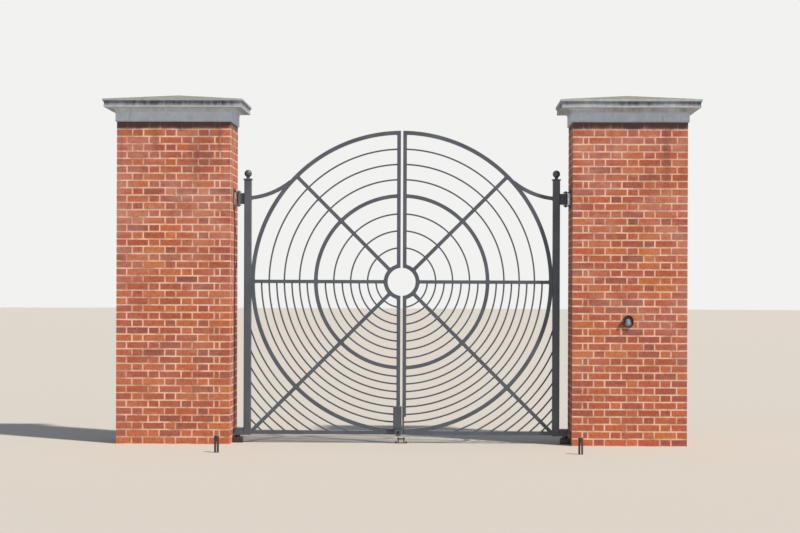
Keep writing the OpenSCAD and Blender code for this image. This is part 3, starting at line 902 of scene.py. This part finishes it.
# %% A case with a lid
LID_MARGIN, LID_PROUD, CASE_ROUNDING = 6, 1.5, 3


def rounded_block(name, low, high):
    """A block with rounded edges that fills a box given in metres."""
    return block(name, (high - low) / MM, (low + high) / 2 / MM, CASE_ROUNDING, segments=2)


def case_with_lid(name, low, high):
    """A rounded block with a lid drawn out of its front face."""
    case = rounded_block(name, low, high)
    pick(case)
    bpy.context.tool_settings.mesh_select_mode = (False, False, True)
    front = max(case.data.polygons, key=lambda face: -face.normal.y * face.area).index
    for part in (case.data.vertices, case.data.edges, case.data.polygons):
        part.foreach_set("select", [False] * len(part))
    case.data.polygons[front].select = True
    bpy.ops.object.mode_set(mode="EDIT")
    bpy.ops.mesh.inset(thickness=LID_MARGIN * MM)
    bpy.ops.mesh.extrude_region_move(TRANSFORM_OT_translate={"value": (0, -LID_PROUD * MM, 0)})
    bpy.ops.object.mode_set(mode="OBJECT")
    bpy.ops.object.shade_smooth_by_angle(angle=SMOOTH_ANGLE)
    return case


print("the lid stands", LID_PROUD, "mm proud")

# %% The lock case and the strike
EYE_R, EYE_HOLE, EYE_THICK, EYE_BACK, EYE_DROP, EYE_OVERLAP = 36, 18, 30, 43, 40, 6
SCREW_ASIDE, SCREW_UP, STRIKE_SCREW_UP = 14, 16, 20

low, high = corners_of("left_lock_case")
eye_centre = Vector((high.x - EYE_R * MM, -(EYE_BACK + EYE_THICK / 2) * MM, low.z + EYE_R * MM))
case_foot = Vector((low.x, low.y + LID_PROUD * MM, eye_centre.z + EYE_DROP * MM))
case = case_with_lid("lock_case", case_foot, high)
screw_places = [
    (x, low.y, z)
    for z in (case_foot.z + SCREW_UP * MM, high.z - SCREW_UP * MM)
    for x in (low.x + SCREW_ASIDE * MM, high.x - SCREW_ASIDE * MM)
]
eye = lock_eye(eye_centre, EYE_R, EYE_THICK, EYE_HOLE, EYE_DROP + EYE_OVERLAP)
lock = join([case, eye] + screws(screw_places), "lock_with_eye")
hand_over(lock, "left_leaf", paint, ["left_lock_case"])

low, high = corners_of("right_lock_strike")
middle_x = (low.x + high.x) / 2
screw_places = [
    (middle_x, low.y, z) for z in (low.z + STRIKE_SCREW_UP * MM, high.z - STRIKE_SCREW_UP * MM)
]
plain_strike = rounded_block("strike", low, high)
strike = join([plain_strike] + screws(screw_places), "strike_with_screws")
hand_over(strike, "right_leaf", paint, ["right_lock_strike"])

# %% [markdown]
# ## Stop posts
# An open leaf comes to rest against a short post. In the photograph each post is two dark legs
# with light between them, closed over the top third. Two bars with a bridge would do, but a round
# bar with a slot cut up from its foot is simpler and keeps the rounded head in one piece.

# %% Slotted posts
POST_R, SLOT_WIDE, SLOT_TOP = 23.9, 10, 112
POST = [(POST_R, 0), (POST_R, 157), (23.2, 161), (21, 163.8), (17, 165), (1, 165)]

post = turned("post", POST, 40)
# The tool is as long below the foot as above it, so that the slot is open at the ground
cut(post, block("slot", (SLOT_WIDE, 3 * POST_R, 2 * SLOT_TOP), (0, 0, 0), TOOL_ROUNDING))
low, high = corners_of("stop_posts")
middle_y = (low.y + high.y) / 2
centres = [(low.x + POST_R * MM, middle_y, 0), (high.x - POST_R * MM, middle_y, 0)]
posts = join([copy_at(post, Matrix.Translation(centre)) for centre in centres], "slotted_stop_posts")
hand_over(posts, "gateway", old_paint_and_shade, ["stop_posts"])
bpy.data.objects.remove(post)

# %% [markdown]
# ## Weld beads
# Bars and rings are joined by fillet welds. The molten bead in the corner freezes in ripples a
# millimetre or two apart, drawn here as 4 mm so that they show. One bead is turned as a rippled
# rod, laid across the leaf, and copied into each corner where a bar meets a ring, sunk halfway.

# %% Where bars meet rings
RING_CENTRE_Z, HUB_OUT, MIDDLE_IN, MIDDLE_OUT, OUTER_IN, OUTER_OUT = 1669, 185.5, 870, 908, 1523, 1563
HALF_BAR, HALF_RAIL, STILE_EDGE, HEEL_EDGE = 19, 18, 50, 1558
RAIL_TOP, RAIL_FOOT, BRACE_TOP, BRACE_FOOT = 129, 89, 2554, 2516


def bar_corners(angle, half, radii):
    """Corners that a bar from the ring centre makes with circles about it, in millimetres."""
    out = Vector((math.cos(math.radians(angle)), 0, math.sin(math.radians(angle))))
    aside = Vector((-out.z, 0, out.x))
    return [out * math.sqrt(r * r - half * half) + aside * half * s for r in radii for s in (-1, 1)]


radii = [HUB_OUT, MIDDLE_IN, MIDDLE_OUT, OUTER_IN]
corners = bar_corners(45, HALF_BAR, radii)
corners += bar_corners(-45, HALF_BAR, radii + [OUTER_OUT])
corners += bar_corners(0, HALF_RAIL, radii)
for radius in (HUB_OUT, MIDDLE_IN, MIDDLE_OUT):
    height = math.sqrt(radius * radius - STILE_EDGE * STILE_EDGE)
    corners += [Vector((STILE_EDGE, 0, height)), Vector((STILE_EDGE, 0, -height))]
corners.append(Vector((STILE_EDGE, 0, math.sqrt(OUTER_IN ** 2 - STILE_EDGE ** 2))))
corners = [corner + Vector((0, 0, RING_CENTRE_Z)) for corner in corners]
corners += [Vector((HEEL_EDGE, 0, z)) for z in (RAIL_TOP, RAIL_FOOT, BRACE_TOP, BRACE_FOOT)]
print(len(corners), "welded corners on each leaf")

# %% Beads on both leaves
BEAD_END, BEAD_TIP, CREST, VALLEY, RIPPLES = 18, 2, 5.2, 4.2, 17

ripples = [(CREST if i % 2 else VALLEY, 2 * i - RIPPLES + 1) for i in range(RIPPLES)]
bead = turned("bead", [(BEAD_TIP, -BEAD_END)] + ripples + [(BEAD_TIP, BEAD_END)], 12)
lying = Matrix.Rotation(math.radians(90), 4, "X")
for side, outwards in (("left", -1), ("right", 1)):
    places = [(outwards * corner.x * MM, 0, corner.z * MM) for corner in corners]
    beads = [copy_at(bead, Matrix.Translation(place) @ lying) for place in places]
    hand_over(join(beads, side + "_weld_beads"), side + "_leaf", paint)
bpy.data.objects.remove(bead)

# %% [markdown]
# ## The wall light
# Its plate and hood are pressed metal under dark brown enamel, and its lens is frosted glass
# that scatters light, so it is milky instead of clear. Its colour is darkened to a blue-grey as
# painted shade of the hood and painted skylight. The lens is a drawn-out dome: a ball whose upper
# and lower halves are pulled apart, cut off flat where it meets the plate.

# %% A smooth lens
LENS_R = 38

low, high = corners_of("light_lens")
middle = (low + high) / 2
drawn_out = (high.z - low.z) / 2 - LENS_R * MM
deselect()
bpy.ops.mesh.primitive_uv_sphere_add(segments=64, ring_count=32, radius=LENS_R * MM,
                                     location=(middle.x, low.y + LENS_R * MM, middle.z))
lens = bpy.context.object
lens.name = "milky_lens"
settle(lens)
bpy.context.tool_settings.mesh_select_mode = (True, False, False)
for upwards in (1, -1):
    beyond_middle = [(v.co.z - middle.z) * upwards > MM for v in lens.data.vertices]
    for part in (lens.data.edges, lens.data.polygons):
        part.foreach_set("select", [False] * len(part))
    lens.data.vertices.foreach_set("select", beyond_middle)
    bpy.ops.object.mode_set(mode="EDIT")
    bpy.ops.transform.translate(value=(0, 0, upwards * drawn_out))
    bpy.ops.object.mode_set(mode="OBJECT")
bpy.ops.object.mode_set(mode="EDIT")
bpy.ops.mesh.select_all(action="SELECT")
bpy.ops.mesh.bisect(plane_co=(middle.x, high.y, middle.z), plane_no=(0, 1, 0), clear_outer=True,
                    use_fill=True)
bpy.ops.object.mode_set(mode="OBJECT")
bpy.ops.object.shade_smooth_by_angle(angle=SMOOTH_ANGLE)
print("the lens reaches", round((high.y - low.y) / MM), "mm out of its plate")


# %% Enamel and glass
def brown_enamel():
    # Baked enamel: smooth and half glossy, with faint clouds of 20 mm
    material, tree, shader = new_material("brown_enamel", "#41332d", Roughness=0.4)
    place = add_node(tree, "ShaderNodeTexCoord")
    fade = add_node(tree, "ShaderNodeTexNoise", {"Scale": 1 / 0.02, "Detail": 4.0},
                    {"Vector": (place, "Object")})
    base = add_node(tree, "ShaderNodeValToRGB",
                    {"stops": [(0.3, "#382c27"), (0.7, "#4a3b34")]}, {0: (fade, "Fac")})
    tree.links.new(base.outputs["Color"], shader.inputs["Base Color"])
    return material


def frosted_glass_in_painted_shade():
    # Frosted glass: it scatters light inside, so it looks solid and milky.
    # Its blue-grey is darkened as painted shade of the hood and painted skylight.
    material, tree, shader = new_material("frosted_glass_in_painted_shade", "#8d949f", Roughness=0.3)
    place = add_node(tree, "ShaderNodeTexCoord")
    haze = add_node(tree, "ShaderNodeTexNoise", {"Scale": 1 / 0.03, "Detail": 3.0},
                    {"Vector": (place, "Object")})
    base = add_node(tree, "ShaderNodeValToRGB",
                    {"stops": [(0.3, "#828b9b"), (0.7, "#999ea5")]}, {0: (haze, "Fac")})
    tree.links.new(base.outputs["Color"], shader.inputs["Base Color"])
    return material


dress(["wall_light"], brown_enamel())
hand_over(lens, "gateway", frosted_glass_in_painted_shade(), ["light_lens"])
